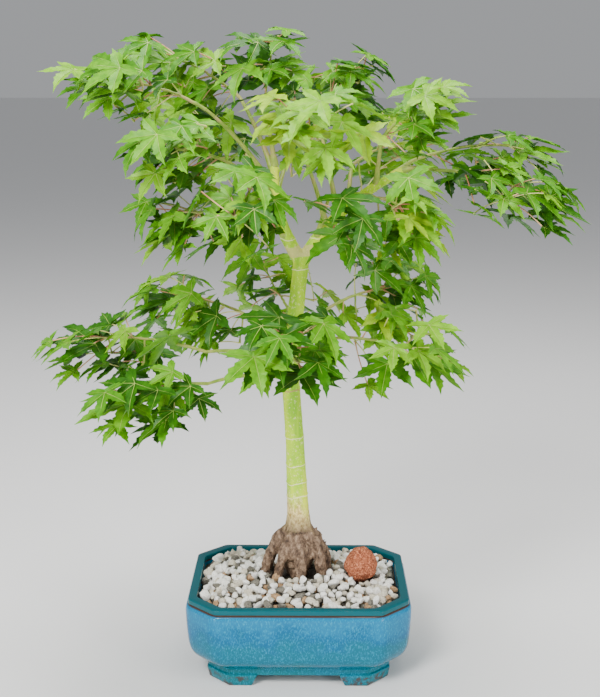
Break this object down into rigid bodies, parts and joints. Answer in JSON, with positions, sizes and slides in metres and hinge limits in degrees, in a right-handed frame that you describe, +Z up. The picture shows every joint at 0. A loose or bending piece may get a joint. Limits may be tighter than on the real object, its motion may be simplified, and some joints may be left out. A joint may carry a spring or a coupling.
{
  "type": "potted bonsai tree",
  "caption": "Potted bonsai tree with pointed palmate leaves in two tiers, in a glazed oblong pot with canted corners, pale gravel and a red lava stone; for display.",
  "frame": {"origin": "centre of the whole plant's box in plan, at the underside of the pot's feet", "axes": "+Z up, -Y towards the viewer, +X to the viewer's right; the pot's long side lies along X"},
  "size_m": [0.4836, 0.348, 0.5777],
  "materials": {
    "pot_glaze": "glossy mottled azure glaze, teal at the rim",
    "soil": "dull, loose",
    "gravel": "matte white and grey pumice",
    "lava_rock": "matte, porous, red-brown",
    "bark": "satin yellow-green bark, brown-grey at the roots",
    "green_bark": "satin green to pink-tan young bark",
    "foliage": "satin leaf green"
  },
  "bodies": {
    "root": {"pot": "pot_glaze", "soil": "soil", "gravel": "gravel", "lava_rock": "lava_rock", "trunk": "bark", "limb_left": "green_bark", "limb_right": "green_bark", "bough_far_left": "green_bark", "bough_top_left": "green_bark", "bough_top": "green_bark", "bough_top_right": "green_bark", "bough_right_top": "green_bark", "bough_left_mid": "green_bark", "bough_left_low": "green_bark", "bough_front_left": "green_bark", "bough_front_right": "green_bark", "bough_right_low": "green_bark", "bough_right_mid": "green_bark", "bough_far_right": "green_bark", "bough_centre": "green_bark", "bough_back_left": "green_bark", "bough_back": "green_bark", "bough_back_right": "green_bark", "bough_low_far_left": "green_bark", "bough_low_left_down": "green_bark", "bough_low_left": "green_bark", "bough_low_front": "green_bark", "bough_low_right": "green_bark", "bough_low_right_up": "green_bark", "bough_low_back": "green_bark", "leaves_far_left": "foliage", "leaves_top_left": "foliage", "leaves_top": "foliage", "leaves_top_right": "foliage", "leaves_right_top": "foliage", "leaves_left_mid": "foliage", "leaves_left_low": "foliage", "leaves_front_left": "foliage", "leaves_front_right": "foliage", "leaves_right_low": "foliage", "leaves_right_mid": "foliage", "leaves_far_right": "foliage", "leaves_centre": "foliage", "leaves_back_left": "foliage", "leaves_back": "foliage", "leaves_back_right": "foliage", "leaves_low_far_left": "foliage", "leaves_low_left_down": "foliage", "leaves_low_left": "foliage", "leaves_low_front": "foliage", "leaves_low_right": "foliage", "leaves_low_right_up": "foliage", "leaves_low_back": "foliage"}
  },
  "joints": []
}
